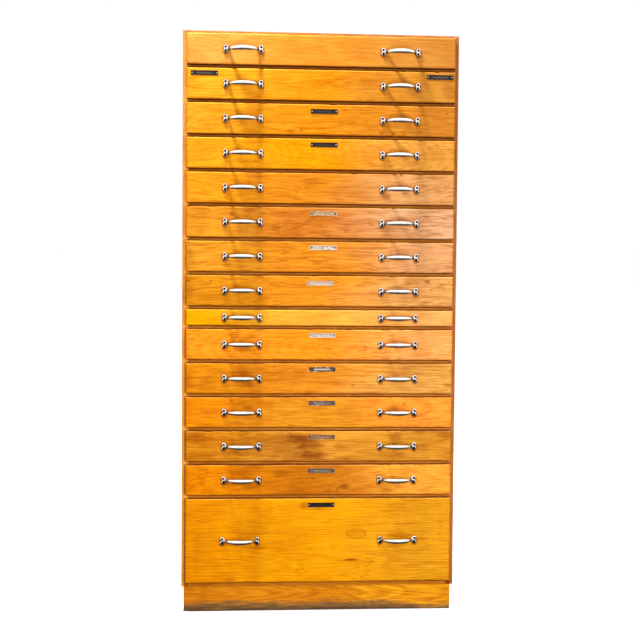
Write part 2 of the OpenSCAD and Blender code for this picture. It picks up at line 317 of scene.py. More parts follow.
def edge_lines(low, high, ease, spacing):
    """Positions across one side of a board: close together round its eased edges."""
    eased = [ease * (1 - math.tan(math.radians(a))) for a in (45, 30, 15, 0)]
    inner = high - low - 2 * ease
    count = max(1, round(inner / spacing))
    middle = [low + ease + inner * i / count for i in range(1, count)]
    return [low + e for e in eased] + middle + [high - e for e in reversed(eased)]


def grid_box(bm, lines):
    """A closed box skinned with a grid: lines holds the grid's positions along each axis."""
    made = {}

    def vert(i, j, k):
        key = (i, j, k)
        if key not in made:
            made[key] = bm.verts.new((lines[0][i], lines[1][j], lines[2][k]))
        return made[key]

    last = [len(line) - 1 for line in lines]
    for axis in range(3):
        u, v = [(1, 2), (2, 0), (0, 1)][axis]
        for end in (0, last[axis]):
            for a in range(last[u]):
                for b in range(last[v]):
                    corners = [(a, b), (a + 1, b), (a + 1, b + 1), (a, b + 1)]
                    if end == 0:
                        corners.reverse()
                    loop = []
                    for p, q in corners:
                        index = [0, 0, 0]
                        index[axis], index[u], index[v] = end, p, q
                        loop.append(vert(*index))
                    bm.faces.new(loop)


def worn_board(low, high, ease, back_ease=0.0008, spacing=0.012, wear=0.35, seed=0, dents=6):
    """A board with eased, unevenly worn edges and a few small dents. Its face looks towards -Y."""
    rng = random.Random(seed)
    bm = bmesh.new()
    grid_box(bm, [edge_lines(low[a], high[a], ease, spacing) for a in range(3)])
    middle_y = (low[1] + high[1]) / 2
    marks = []
    for _ in range(dents):
        spot = Vector((rng.uniform(low[0], high[0]), low[1], rng.choice((low[2], high[2]))))
        marks.append((spot, rng.uniform(0.003, 0.008), rng.uniform(0.0006, 0.0016)))
    for vert in bm.verts:
        p = vert.co.copy()
        worn = 1 - wear * (0.5 + 0.5 * noise.noise(Vector((p.x * 14 + seed, p.z * 9, seed * 1.7))))
        r = ease * worn if p.y < middle_y else back_ease
        inside = Vector([min(max(p[a], low[a] + r), high[a] - r) for a in range(3)])
        out = p - inside
        if out.length > 1e-9:
            vert.co = inside + out.normalized() * r
        for spot, size, deep in marks:
            near = (vert.co - spot).length / size
            if near < 2.5:
                vert.co.y += deep * math.exp(-near * near)
                vert.co.z += deep * math.exp(-near * near) * (1 if spot.z == low[2] else -1)
    return bm


def lathe(bm, profile, segments=24, at=Matrix.Identity(4)):
    """Turns a profile of (radius, height) points about Z. It is closed where the radius is 0."""
    loops = []
    for radius, height in profile:
        if radius == 0:
            loops.append([bm.verts.new(at @ Vector((0, 0, height)))])
            continue
        loops.append([bm.verts.new(at @ Vector((radius * math.cos(a), radius * math.sin(a), height)))
                      for a in (2 * math.pi * i / segments for i in range(segments))])
    for lower, upper in zip(loops, loops[1:]):
        for i in range(segments):
            j = (i + 1) % segments
            if len(lower) == 1:
                bm.faces.new((lower[0], upper[j], upper[i]))
            elif len(upper) == 1:
                bm.faces.new((lower[i], lower[j], upper[0]))
            else:
                bm.faces.new((lower[i], lower[j], upper[j], upper[i]))


def loft(bm, loops):
    """Skins a list of closed loops of points, and closes both ends."""
    rows = [[bm.verts.new(p) for p in loop] for loop in loops]
    count = len(rows[0])
    for a, b in zip(rows, rows[1:]):
        for i in range(count):
            j = (i + 1) % count
            bm.faces.new((a[i], a[j], b[j], b[i]))
    bm.faces.new(list(reversed(rows[0])))
    bm.faces.new(rows[-1])


def applied(obj):
    """The object's mesh with its modifiers applied. The object itself is removed."""
    graph = bpy.context.evaluated_depsgraph_get()
    mesh = bpy.data.meshes.new_from_object(obj.evaluated_get(graph))
    bpy.data.objects.remove(obj)
    return mesh


def scratch_object(name, bm):
    """An object for a modifier to work on, made from a bmesh."""
    mesh = bpy.data.meshes.new(name)
    bm.normal_update()
    bm.to_mesh(mesh)
    bm.free()
    obj = bpy.data.objects.new(name, mesh)
    bpy.context.scene.collection.objects.link(obj)
    return obj


# ----- Pulls, screws and label plates -----

OUTWARD = Matrix.Rotation(math.radians(90), 4, "X")   # turns +Z into -Y


def outline(circles, inset, height, count=48):
    """The smooth outline round a group of (x, z, radius) circles, drawn in by inset."""
    points = []
    for i in range(count):
        angle = 2 * math.pi * i / count
        out = Vector((math.cos(angle), 0, math.sin(angle)))
        x, z, radius = max(circles, key=lambda c: c[0] * out.x + c[1] * out.z + c[2])
        points.append(Vector((x, -height, z)) + out * (radius - inset))
    return points


def add_feet(bm):
    """The two feet of a pull: two domed lobes each, and a web that joins them to the neck."""
    lobe_radius = 0.0061
    web_radius = 0.0046
    neck = (FOOT_X - 0.0100, 0.0036)    # the place and radius of the web's inner end
    dome = [(0.0, -0.0002), (0.0, 0.0018), (0.0003, 0.0027), (0.0010, 0.0034), (0.0020, 0.0038),
            (0.0031, 0.0040)]
    for side in (-1, 1):
        spots = [(side * FOOT_X, level * FOOT_SCREW_Z) for level in (-1, 1)]
        web = [(x, z, web_radius) for x, z in spots] + [(side * neck[0], 0, neck[1])]
        for circles in ([(*spots[0], lobe_radius)], [(*spots[1], lobe_radius)], web):
            loft(bm, [outline(circles, inset, height) for inset, height in dome])


def add_grip(bm):
    """The bowed grip of a pull: thickest in its middle, and flared where it meets the feet."""
    rise = 0.0247    # from the height of its ends out to its middle
    half = 0.0415    # from its middle to either end
    radius = (half * half + rise * rise) / (2 * rise)
    reach = math.asin(half / radius)
    steps = 48
    loops = []
    for i in range(steps + 1):
        t = 2 * i / steps - 1
        angle = t * reach
        swell = 1 - abs(t) ** 2.2
        flare = max(0.0, abs(t) - 0.78) / 0.22
        deep = 0.0029 + 0.0022 * swell + 0.0012 * flare * flare
        tall = 0.0034 + 0.0035 * swell + 0.0014 * flare * flare
        centre = Vector((radius * math.sin(angle), -(radius * math.cos(angle) - radius + rise), 0))
        outwards = Vector((math.sin(angle), -math.cos(angle), 0))
        loops.append([centre + outwards * (deep * math.cos(a)) + Vector((0, 0, tall * math.sin(a)))
                      for a in (2 * math.pi * k / 20 for k in range(20))])
    loft(bm, loops)


def screw_sinks():
    """The four countersunk holes of a pull, as solids to be cut from it."""
    bm = bmesh.new()
    profile = [(0, 0.0021), (0.0022, 0.0021), (0.0037, 0.0042), (0.0040, 0.0060), (0, 0.0060)]
    for side in (-1, 1):
        for level in (-1, 1):
            at = Matrix.Translation((side * FOOT_X, 0, level * FOOT_SCREW_Z)) @ OUTWARD
            lathe(bm, profile, at=at)
    return scratch_object("sinks", bm)


def pull_mesh():
    """One cast pull: its feet and grip melted into one skin, with holes for its screws."""
    bm = bmesh.new()
    add_feet(bm)
    add_grip(bm)
    cast = scratch_object("cast", bm)
    remesh = cast.modifiers.new("remesh", "REMESH")
    remesh.mode = "VOXEL"
    remesh.voxel_size = 0.00045
    smooth = cast.modifiers.new("smooth", "SMOOTH")
    smooth.factor = 0.5
    smooth.iterations = 8
    sinks = screw_sinks()
    cut = cast.modifiers.new("cut", "BOOLEAN")
    cut.operation = "DIFFERENCE"
    cut.object = sinks
    cut.solver = "EXACT"
    thin = cast.modifiers.new("thin", "DECIMATE")
    thin.ratio = 0.16
    mesh = applied(cast)
    bpy.data.objects.remove(sinks)
    return mesh


def screw_mesh(head_radius, head_height, slot_width):
    """A slotted oval-headed screw with its head's underside at the origin, pointing out along +Z."""
    bm = bmesh.new()
    steps = 5
    dome = [(head_radius * math.cos(a), head_height * math.sin(a))
            for a in (math.radians(90) * i / steps for i in range(steps + 1))]
    dome[-1] = (0, head_height)
    shank = [(0, -0.004), (0.55 * head_radius, -0.004), (0.55 * head_radius, -0.0022),
             (0.93 * head_radius, -0.0004)]
    lathe(bm, shank + dome)
    head = scratch_object("head", bm)
    bm = bmesh.new()
    slot_size = (3 * head_radius, slot_width, 1.3 * head_height)
    bmesh.ops.create_cube(bm, size=1, matrix=Matrix.LocRotScale((0, 0, head_height), None, slot_size))
    slot = scratch_object("slot", bm)
    cut = head.modifiers.new("cut", "BOOLEAN")
    cut.object = slot
    cut.solver = "EXACT"
    mesh = applied(head)
    bpy.data.objects.remove(slot)
    return mesh


def placed_copies(mesh, places):
    """One bmesh that holds a copy of the mesh at each place."""
    bm = bmesh.new()
    for place in places:
        part = mesh.copy()
        part.transform(place)
        bm.from_mesh(part)
        bpy.data.meshes.remove(part)
    return bm


def label_mesh(seed):
    """A thin pressed plate with rounded corners, a low rim and a slight bow, at the origin."""
    rng = random.Random(seed)
    half_w, half_h = LABEL_SIZE[0] / 2, LABEL_SIZE[1] / 2
    bow = rng.uniform(-0.0002, 0.0003)
    bm = bmesh.new()
    rim = [(0.0, 0.0), (0.0, 0.62), (0.0002, 0.95), (0.0006, 1.0), (0.0011, 0.86), (0.0016, 0.7)]
    loops = []
    for inset, height in rim:
        corner = 0.0016 - min(inset, 0.0012)
        loop = []
        for k in range(4):
            sx = (1, -1, -1, 1)[k]
            sz = (1, 1, -1, -1)[k]
            for i in range(5):
                a = math.radians(90 * k + 22.5 * i)
                x = sx * (half_w - inset - corner) + corner * math.cos(a)
                z = sz * (half_h - inset - corner) + corner * math.sin(a)
                y = -LABEL_THICKNESS * height - bow * max(0, height) * (1 - (x / half_w) ** 2)
                loop.append(Vector((x, min(y, 0.0), z)))
        loops.append(loop)
    loft(bm, loops)
    return bm


# ----- Materials of this cabinet -----

# Each front's own wood: its tones at the left, middle and right (partly the wood's own colour, partly
# painted light and shade across the front), how it is figured, and its marks.
# A mark is (across, up, half width, half height, strength). Its place is counted from the front's
# middle, and its lengths are in millimetres.
FRONT_WOODS = {
    1: dict(tones=("#f8b050", "#f8a838", "#d89840"), blotch=0.3, streak=0.15,
            marks=[(105, 0, 60, 40, 0.12), (-40, 5, 60, 14, 0.12), (40, 20, 26, 8, 0.12)]),
    2: dict(tones=("#f8b028", "#f0a018", "#d89838"), blotch=0.5, streak=0.25, curl=0.25, figure=0.14,
            marks=[(105, 0, 60, 40, 0.1), (350, -6, 24, 26, 0.40), (20, 4, 50, 12, 0.16),
                   (56, 20, 22, 7, 0.2)]),
    3: dict(tones=("#f8b028", "#e89818", "#d89030"), blotch=0.45, streak=0.3,
            marks=[(105, 0, 60, 40, 0.1), (-110, 29, 8, 2.5, 0.35), (-22, 8, 5, 3, 0.5),
                   (-84, -31, 13, 4, 0.5), (-57, -30, 6, 5, 0.55), (62, 28, 6, 3, 0.5),
                   (166, -33, 7, 4, 0.6), (198, -35, 5, 5, 0.6), (228, -30, 10, 8, 0.4),
                   (346, 22, 4, 3, 0.8)]),
    4: dict(tones=("#f8b020", "#f8a808", "#e8a848"), blotch=0.35, streak=0.3, figure=0.1,
            centre=(-0.33, -0.004), depth=0.010, slope=0.22, marks=[(330, 10, 40, 18, 0.12)]),
    5: dict(tones=("#f8a820", "#e09020", "#e0a868"), blotch=0.5, streak=0.35,
            marks=[(110, 0, 70, 42, 0.22), (-112, 40, 6, 2, 0.7), (221, 41, 5, 4, 0.9),
                   (181, -18, 14, 9, 0.45), (233, -10, 9, 4, 0.5), (-24, 15, 34, 18, 0.3),
                   (60, -10, 30, 10, 0.2)]),
    6: dict(tones=("#e8a028", "#d08028", "#e0b080"), blotch=0.7, streak=0.46, curl=0.3, pores=0.5,
            figure=0.12,
            marks=[(-245, 22, 7, 8, 0.6), (-197, 32, 22, 6, 0.6), (-160, 24, 10, 4, 0.4),
                   (-127, -16, 13, 6, 0.35), (-90, 6, 16, 5, 0.3), (68, -20, 9, 7, 0.4),
                   (292, 20, 9, 6, 0.4), (320, -26, 24, 5, 0.4), (-150, -6, 30, 5, 0.25)]),
    7: dict(tones=("#e8a028", "#e09020", "#e0a870"), blotch=0.5, streak=0.42, curl=0.25,
            marks=[(-362, -4, 16, 40, 0.35), (130, 14, 22, 5, 0.2), (20, -28, 40, 8, 0.25)]),
    8: dict(tones=("#e09818", "#e89820", "#e0a860"), blotch=0.4, streak=0.42,
            marks=[(-364, 28, 4, 2, 0.8), (-301, 28, 4, 2, 0.8), (-362, 0, 14, 36, 0.35),
                   (297, 29, 8, 5, 0.85), (357, 28, 6, 2.5, 0.7), (309, 6, 4, 3, 0.8),
                   (262, 24, 40, 14, 0.3), (250, -14, 30, 6, 0.25)]),
    9: dict(tones=("#f8b800", "#f8b840", "#f8b868"), blotch=0.25, streak=0.15,
            marks=[(105, -9, 4, 2, 0.5), (-200, -12, 60, 5, 0.2)]),
    10: dict(tones=("#f8a020", "#f8a020", "#f8b060"), blotch=0.35, streak=0.35, figure=0.13,
             centre=(0.31, -0.012), depth=0.008, slope=0.16,
             marks=[(-238, 24, 12, 14, 0.45), (-190, 22, 18, 8, 0.45), (-212, -14, 26, 6, 0.45),
                    (-246, -34, 8, 6, 0.4), (203, 25, 9, 7, 0.3), (124, -16, 6, 22, 0.2)]),
    11: dict(tones=("#e09010", "#e09020", "#e0a850"), blotch=0.55, streak=0.38,
             marks=[(-95, 0, 60, 38, 0.22), (-222, 24, 26, 12, 0.45), (-198, -18, 24, 8, 0.55),
                    (-316, -5, 14, 6, 0.3), (-362, 0, 14, 38, 0.3), (-126, 33, 2, 8, 0.5),
                    (243, 30, 34, 9, 0.4), (91, -18, 5, 5, 0.6), (116, 8, 5, 3, 0.4),
                    (357, -18, 10, 7, 0.4)]),
    12: dict(tones=("#e89008", "#e09820", "#f8a038"), blotch=0.45, streak=0.36,
             marks=[(105, 0, 60, 40, 0.2), (-222, 26, 26, 12, 0.4), (-197, 15, 16, 7, 0.6),
                    (-243, 34, 4, 2.5, 0.8), (236, 24, 5, 4, 0.7), (203, 12, 12, 6, 0.35),
                    (30, -26, 50, 9, 0.2)]),
    13: dict(tones=("#d89018", "#d89830", "#d09028"), blotch=0.75, streak=0.4, pores=0.5, figure=0.12,
             marks=[(-100, 0, 70, 44, 0.6), (-30, 6, 42, 30, 0.75), (-18, -28, 50, 14, 0.9),
                    (-50, 24, 44, 11, 0.7), (-240, -14, 20, 6, 0.45), (-330, 24, 44, 14, 0.4),
                    (-330, -30, 50, 10, 0.35), (214, 22, 20, 18, 0.55), (226, -26, 30, 10, 0.45),
                    (354, 30, 22, 12, 0.5), (60, -36, 34, 7, 0.5), (-200, 22, 26, 9, 0.4),
                    (-204, -22, 26, 7, 0.4)]),
    14: dict(tones=("#e89000", "#c07008", "#f0a838"), blotch=0.6, streak=0.34, curl=0.25, figure=0.16,
             marks=[(105, 0, 60, 40, 0.12), (-222, 22, 34, 10, 0.5), (-193, -18, 26, 9, 0.4),
                    (70, -20, 16, 9, 0.75), (52, -26, 6, 8, 0.5), (190, -28, 16, 10, 0.35),
                    (-110, 18, 20, 12, 0.3), (-60, -20, 36, 8, 0.25)]),
    15: dict(tones=("#e89800", "#f0a800", "#e0a018"), blotch=0.35, streak=0.34, pores=0.6, figure=0.08,
             marks=[(-110, 0, 90, 130, 0.16), (-42, 98, 14, 10, 0.65), (-5, 88, 20, 5, 0.3),
                    (-171, -20, 33, 1.8, 0.9), (92, -55, 20, 3.2, 1.0), (-44, -82, 4, 3, 0.6),
                    (-200, 30, 60, 30, 0.2), (222, 14, 34, 14, 0.3), (-336, -30, 14, 60, 0.15),
                    (230, -30, 60, 20, 0.15)]),
}
ALBEDO = 0.79     # how much of a tone the wood itself gives back; the lamps make up the rest
FIRST_SMUDGED = 5           # the first drawer with smudges above and below its pulls
SMUDGE = (0.034, 0.009)     # half the width and height of such a smudge


def wood_colour(code):
    """A wood's own colour, from the tone that it has under the lamps."""
    return tuple(c * ALBEDO for c in colour(code)[:3]) + (1.0,)


def front_tones(codes):
    """A function that blends tones from the left end of a front to the right: partly the wood's own
    colour, partly painted light and shade.
    """
    left, middle, right = [wood_colour(code) for code in codes]

    def tint(paint):
        x = paint.split(paint.place)[0]
        x = paint.nudge(x, paint.noise(paint.place, (5.0, 1.0, 14.0)), 0.24)
        first = paint.mix(paint.ramp(x, -0.30, -0.04), left, middle)
        return paint.mix(paint.ramp(x, -0.02, 0.28), first, right)

    return tint


def front_wood(d):
    """The wood of one drawer's front, with its tones, figure, stains and dirt, and painted shadow, shade
    and highlight.
    """
    look = dict(FRONT_WOODS[d])
    tones = look.pop("tones")
    marks = look.pop("marks")
    low, high = front_box[d]
    middle = (low.z + high.z) / 2
    pulls = pull_centres(d)
    rng = random.Random(100 + d)
    across, up = look.pop("centre", (rng.uniform(-0.3, 0.3), rng.uniform(-0.04, 0.04)))
    look["centre"] = (across, middle + up)
    look.setdefault("depth", rng.uniform(0.015, 0.07))
    look.setdefault("slope", rng.choice((-1, 1)) * rng.uniform(0.02, 0.06))

    def marked(paint, tint):
        for across, up, half_width, half_height, strength in marks:
            spot = (across / 1000, middle + up / 1000)
            tint = mark(paint, tint, spot, (half_width / 1000, half_height / 1000), strength)
        if d >= FIRST_SMUDGED:
            dirtier = 2 if d > THIN_DRAWER else 1
            for pull in pulls.values():
                for up in (0.014, -0.015):
                    spot = (pull.x + rng.uniform(-0.01, 0.01), pull.z + up)
                    strength = rng.uniform(0.05, 0.22) * dirtier
                    tint = mark(paint, tint, spot, SMUDGE, strength, DEEP_SHARE)
        # Painted shadow round the feet of both pulls.
        tint = foot_shadow(paint, tint, pulls["right"])
        if d == DEEP_DRAWER:
            tint = ring_mark(paint, tint, (0.105, middle + 0.018), (0.026, 0.0135))
        # Wear, a painted highlight along the top edge and painted shade on the underside.
        return edge_wear_and_painted_light(paint, tint, low, high)

    return wood(f"front_wood_{d:02d}", front_tones(tones), seed=d, after=marked, **look)


def foot_shadow(paint, tint, pull):
    """Painted shadow close round the feet of a drawer's two pulls, set a little below them, from the
    middle of the right one.
    """
    lower = 0.0015    # how far the painted shadow lies below the feet's own middle
    x, _, z = paint.split(paint.place)[:3]
    across = paint.math("SUBTRACT", paint.apart(paint.math("ABSOLUTE", x), pull.x), FOOT_X)
    up = paint.math("SUBTRACT", paint.apart(z, pull.z - lower), FOOT_SCREW_Z)
    away = paint.reach(across, paint.math("MAXIMUM", up, 0.0))
    away = paint.nudge(away, paint.noise(paint.place, (90.0, 1.0, 90.0), detail=3.0), 0.004)
    # Painted shadow: a dark halo round each foot, a little below it.
    return paint.tone_down(paint.ramp(away, 0.0065, 0.0105, 0.75, 0.0), tint, GRIME_AND_SHADOW_SHARE)


def ring_mark(paint, tint, place, size):
    """The oval ring that a cup or a tin has left."""
    away = oval(paint, place, size)
    line = paint.ramp(paint.apart(away, 1.0), 0.02, 0.16, 0.75, 0.0)
    inside = paint.ramp(away, 0.8, 1.05, 0.28, 0.0)
    return paint.tone_down(paint.math("MAXIMUM", line, inside), tint, DEEP_SHARE)


def edge_wear_and_painted_light(paint, tint, low, high):
    """Darker near the ends and the bottom of a front, unevenly; a pale band along its top edge, partly
    varnish rubbed off and partly a painted highlight; and painted shade on its underside.
    """
    x, _, z = paint.split(paint.place)[:3]
    side = paint.math("SUBTRACT", high.x, paint.math("ABSOLUTE", x))
    below = paint.math("SUBTRACT", z, low.z)
    above = paint.math("SUBTRACT", high.z, z)
    rough = paint.noise(paint.place, (22.0, 20.0, 40.0), detail=4.0, roughness=0.7)
    nearest = paint.nudge(paint.math("MINIMUM", side, below), rough, 0.008)
    tint = paint.tone_down(paint.ramp(nearest, -0.001, 0.007, 0.55, 0.0), tint, GRIME_AND_SHADOW_SHARE)
    # A pale band along the top edge: partly rubbed varnish, partly a painted highlight.
    above = paint.nudge(above, rough, 0.004)
    tint = paint.mix(paint.ramp(above, 0.0006, 0.0042, 0.08, 0.0), tint, BARE_WOOD_AND_HIGHLIGHT)
    # Painted shade on the underside of the front, within about a millimetre of its bottom.
    return paint.tone_down(paint.ramp(below, 0.0002, 0.0012, 0.9, 0.0), tint, SOOT_AND_SHADE_SHARE)


def cast_metal():
    """Softly polished cast aluminium, rubbed bright, with grey in its pits and painted shade at its necks.
    """
    neck = 0.0395    # from a pull's middle to where its grip meets its feet
    paint = Paint("cast_metal")
    rubbed = paint.noise(paint.place, (60, 60, 60), detail=3.0, roughness=0.55)
    pits = paint.noise(paint.place, (420, 420, 420), detail=3.0, roughness=0.7)
    scratches = paint.noise(paint.place, (260, 1500, 1900), detail=2.0)
    tint = paint.mix(paint.ramp(rubbed, 0.4, 0.7), colour("#d2cfce"), colour("#bdb8b4"))
    tint = paint.mix(paint.ramp(pits, 0.62, 0.78, 0.0, 0.35), tint, colour("#8a8178"))
    x = paint.math("ABSOLUTE", paint.split(paint.place)[0])
    # Painted shade where each grip meets its feet, darkening the metal there.
    near = paint.apart(paint.apart(x, PULL_HALF_SPACING), neck)
    dirt = paint.ramp(paint.math("MULTIPLY_ADD", rubbed, 0.004, near), 0.0025, 0.0075, 0.75, 0.0)
    tint = paint.mix(dirt, tint, colour("#3a2a1e"))
    rough = paint.math("ADD", paint.sum((rubbed, 0.12), (scratches, 0.12)), 0.30)
    paint.bump(paint.sum((pits, 0.7), (scratches, 0.3)), 0.0001, 0.35)
    return paint.finish(Base_Color=tint, Metallic=1.0, Roughness=rough)


def dark_steel():
    """Blackened screw steel, a little browner in places."""
    paint = Paint("dark_steel")
    rubbed = paint.noise(paint.place, (700, 700, 700), detail=3.0)
    tint = paint.mix(paint.ramp(rubbed, 0.5, 0.8), colour("#040303"), colour("#17120f"))
    paint.bump(rubbed, 0.0001, 0.4)
    rough = paint.math("ADD", paint.sum((rubbed, 0.3)), 0.5)
    return paint.finish(Base_Color=tint, Metallic=0.0, Roughness=rough, Specular_IOR_Level=0.06)


def label_finish(name, enamel, bare, wear, streak, place, seed):
    """A blank pressed plate: enamel or plating, worn through at its edges and in a band."""
    paint = Paint(name)
    shift = random.Random(seed).uniform(-5, 5)
    moved = paint.vector("ADD", paint.place, (shift, shift, shift))
    grit = paint.noise(moved, (150, 150, 380), detail=4.0, roughness=0.65)
    fine = paint.noise(moved, (800, 800, 2200), detail=2.0)
    x, _, z = paint.split(paint.place)[:3]
    across = paint.apart(x, place.x)
    up = paint.apart(z, place.z)
    rim_width = 0.0012
    rims = [paint.ramp(off, size / 2 - rim_width, size / 2) for off, size in zip((across, up), LABEL_SIZE)]
    rim = paint.math("MAXIMUM", *rims)
    worn = paint.ramp(paint.math("MULTIPLY_ADD", rim, 0.12, grit), 0.74 - wear, 0.86 - wear)
    band = paint.ramp(across, 0.018, 0.026, 1.0, 0.0)
    band = paint.math("MULTIPLY", band, paint.ramp(up, 0.001, 0.0032, 1.0, 0.0))
    band = paint.math("MULTIPLY", band, paint.ramp(fine, 0.45, 0.62, 0.15, 1.0))
    worn = paint.math("MAXIMUM", worn, paint.math("MULTIPLY", band, streak))
    paint.bump(paint.sum((grit, 0.6), (fine, 0.3)), 0.0001, 0.4)
    rough = paint.math("ADD", paint.sum((grit, 0.4)), 0.42)
    return paint.finish(Base_Color=paint.mix(worn, enamel, bare), Roughness=rough,
                        Metallic=paint.math("MULTIPLY", worn, 0.7), Specular_IOR_Level=0.25)


# ----- Camera, lights and floor -----

def add_camera():
    """A camera a little left of the middle and above half height, turned slightly right and down."""
    data = bpy.data.cameras.new("camera")
    data.sensor_width = 36
    data.lens = 67.05
    camera = bpy.data.objects.new("camera", data)
    bpy.context.scene.collection.objects.link(camera)
    place = Matrix.Translation((-0.242, case_front_y - 3.3, 0.951))
    turn = Matrix.Rotation(math.radians(-4.20), 4, "Z")
    tip = Matrix.Rotation(math.radians(90 - 2.33), 4, "X")
    roll = Matrix.Rotation(math.radians(0.47), 4, "Z")
    camera.matrix_world = place @ turn @ tip @ roll
    bpy.context.scene.camera = camera


def add_light(name, place, power, width, length, target=None, tint=(1, 1, 1)):
    """An area light that isn't seen itself. It faces its target, or straight down."""
    data = bpy.data.lights.new(name, "AREA")
    data.shape = "RECTANGLE"
    data.size = width
    data.size_y = length
    data.energy = power
    data.color = tint
    light = bpy.data.objects.new(name, data)
    light.location = place
    if target:
        light.rotation_euler = (Vector(target) - Vector(place)).to_track_quat("-Z", "Y").to_euler()
    light.visible_glossy = False
    light.visible_camera = False
    bpy.context.scene.collection.objects.link(light)
    return light


def link_light(light, obj, only):
    """Lets a light shine only on one object, or on everything but that object."""
    linked = bpy.data.collections.new(light.name)
    linked.objects.link(obj)
    linked.collection_objects[0].light_linking.link_state = "INCLUDE" if only else "EXCLUDE"
    light.light_linking.receiver_collection = linked


def sky(nodes, links, height, levels, strengths, tint):
    """A room that is dark below and light above: its strength goes from one to the other."""
    fade = nodes.new("ShaderNodeMapRange")
    fade.interpolation_type = "SMOOTHSTEP"
    links.new(height, fade.inputs["Value"])
    for name, value in zip(("From Min", "From Max", "To Min", "To Max"), levels + strengths):
        fade.inputs[name].default_value = value
    room = nodes.new("ShaderNodeBackground")
    room.inputs["Color"].default_value = tint
    links.new(fade.outputs[0], room.inputs["Strength"])
    return room


def add_lamps():
    """A small hard lamp high on the left, weaker on the top panel, and three wide soft ones."""
    lamp_place = (-0.61, face_y - 0.31, 3.2)
    for name, power, top_only in (("lamp", 150, False), ("top_lamp", 28, True)):
        lamp = add_light(name, lamp_place, power, 0.025, 0.24, tint=(1.0, 0.97, 0.93))
        link_light(lamp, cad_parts["top_panel"], top_only)
    middle = (0, 0, 0.85)
    add_light("front", (0.35, face_y - 1.8, 0.30), 58, 1.6, 1.6, target=(0.25, 0, 0.30))
    add_light("back_left", (-3.0, 3.4, 2.8), 110, 2.2, 2.2, target=middle)
    add_light("back_right", (3.2, 2.8, 2.2), 80, 2.2, 2.2, target=middle)


def add_world():
    """A warm room that lights the wood, a whiter one that the metal mirrors, and white behind it all."""
    world = bpy.data.worlds.new("studio")
    bpy.context.scene.world = world
    world.use_nodes = True
    nodes, links = world.node_tree.nodes, world.node_tree.links
    seen = nodes["Background"]
    seen.inputs["Color"].default_value = (1, 1, 1, 1)
    seen.inputs["Strength"].default_value = 1.0
    split = nodes.new("ShaderNodeSeparateXYZ")
    links.new(nodes.new("ShaderNodeTexCoord").outputs["Generated"], split.inputs[0])
    height = split.outputs["Z"]
    path = nodes.new("ShaderNodeLightPath")
    result = sky(nodes, links, height, (-0.25, 0.35), (0.20, 0.62), (1.0, 0.62, 0.40, 1))
    shine = sky(nodes, links, height, (-0.38, 0.18), (0.05, 2.3), (1.0, 0.985, 0.96, 1))
    for ray, other in (("Is Glossy Ray", shine), ("Is Camera Ray", seen)):
        choose = nodes.new("ShaderNodeMixShader")
        links.new(path.outputs[ray], choose.inputs[0])
        links.new(result.outputs[0], choose.inputs[1])
        links.new(other.outputs[0], choose.inputs[2])
        result = choose
    links.new(result.outputs[0], nodes["World Output"].inputs[0])
    bpy.context.scene.view_settings.view_transform = "Standard"


def add_floor():
    """A white floor that glows a little, so that it stays pale where the lamps fall off."""
    bm = bmesh.new()
    bmesh.ops.create_grid(bm, x_segments=2, y_segments=2, size=60)
    mesh = bpy.data.meshes.new("floor")
    bm.to_mesh(mesh)
    bm.free()
    floor = bpy.data.objects.new("floor", mesh)
    bpy.context.scene.collection.objects.link(floor)
    floor.visible_diffuse = False
    floor.visible_glossy = False
    paint = Paint("floor")
    cloud = paint.noise(paint.place, (1.5, 1.5, 1.5))
    tint = paint.mix(cloud, (0.86, 0.90, 0.98, 1), (0.88, 0.92, 1.0, 1))
    glow = paint.finish(Base_Color=tint, Roughness=0.9, Emission_Color=tint, Emission_Strength=0.72)
    mesh.materials.append(glow)


# ----- The cabinet -----

def dress(node, material, bevel=0.0007):
    """Gives a CAD node its material, and eases its sharp edges a little."""
    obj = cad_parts[node]
    if not obj.material_slots:
        obj.data.materials.append(material)
    for slot in obj.material_slots:
        slot.material = material
    weld = obj.modifiers.new("weld", "WELD")
    weld.merge_threshold = 0.00001
    if bevel:
        ease = obj.modifiers.new("ease", "BEVEL")
        ease.width = bevel
        ease.segments = 2
        ease.limit_method = "ANGLE"
        ease.angle_limit = math.radians(50)
        ease.harden_normals = False


def add_fronts():
    """The fifteen drawer fronts, each a worn board of its own wood."""
    eased_edge = 0.0032
    for d in DRAWERS:
        low, high = front_box[d]
        bm = worn_board(low, high, eased_edge, seed=d)
        add_piece(f"drawer_{d:02d}_front_board", bm, front_wood(d), body_name(d),
                  [f"drawer_{d:02d}_front"], smooth_angle=35)


# The label plates: enamel or plating, bare metal, how worn, and how strong the rubbed band is
LABEL_LOOKS = {
    2: ("#0e0b0a", "#8f8272", 0.06, 0.55),
    3: ("#0f0c0b", "#77695c", 0.02, 0.30),
    4: ("#0c0908", "#5c4e42", 0.0, 0.35),
    6: ("#8c6c44", "#c8bca8", 0.24, 0.3),
    7: ("#8a7c6c", "#d0c8bc", 0.28, 0.4),
    8: ("#a08c7c", "#b8a89c", 0.34, 0.0),
    10: ("#8e8274", "#c4bab0", 0.30, 0.0),
    11: ("#3a2c24", "#e6e0d8", 0.14, 1.0),
    12: ("#4a4038", "#a09890", 0.18, 0.5),
    13: ("#6a4a2c", "#b09a82", 0.16, 0.4),
    14: ("#4c4034", "#a0958a", 0.17, 0.6),
    15: ("#090707", "#3c3028", 0.0, 0.1),
}
BLACK_LABELS = (2, 3, 4, DEEP_DRAWER)


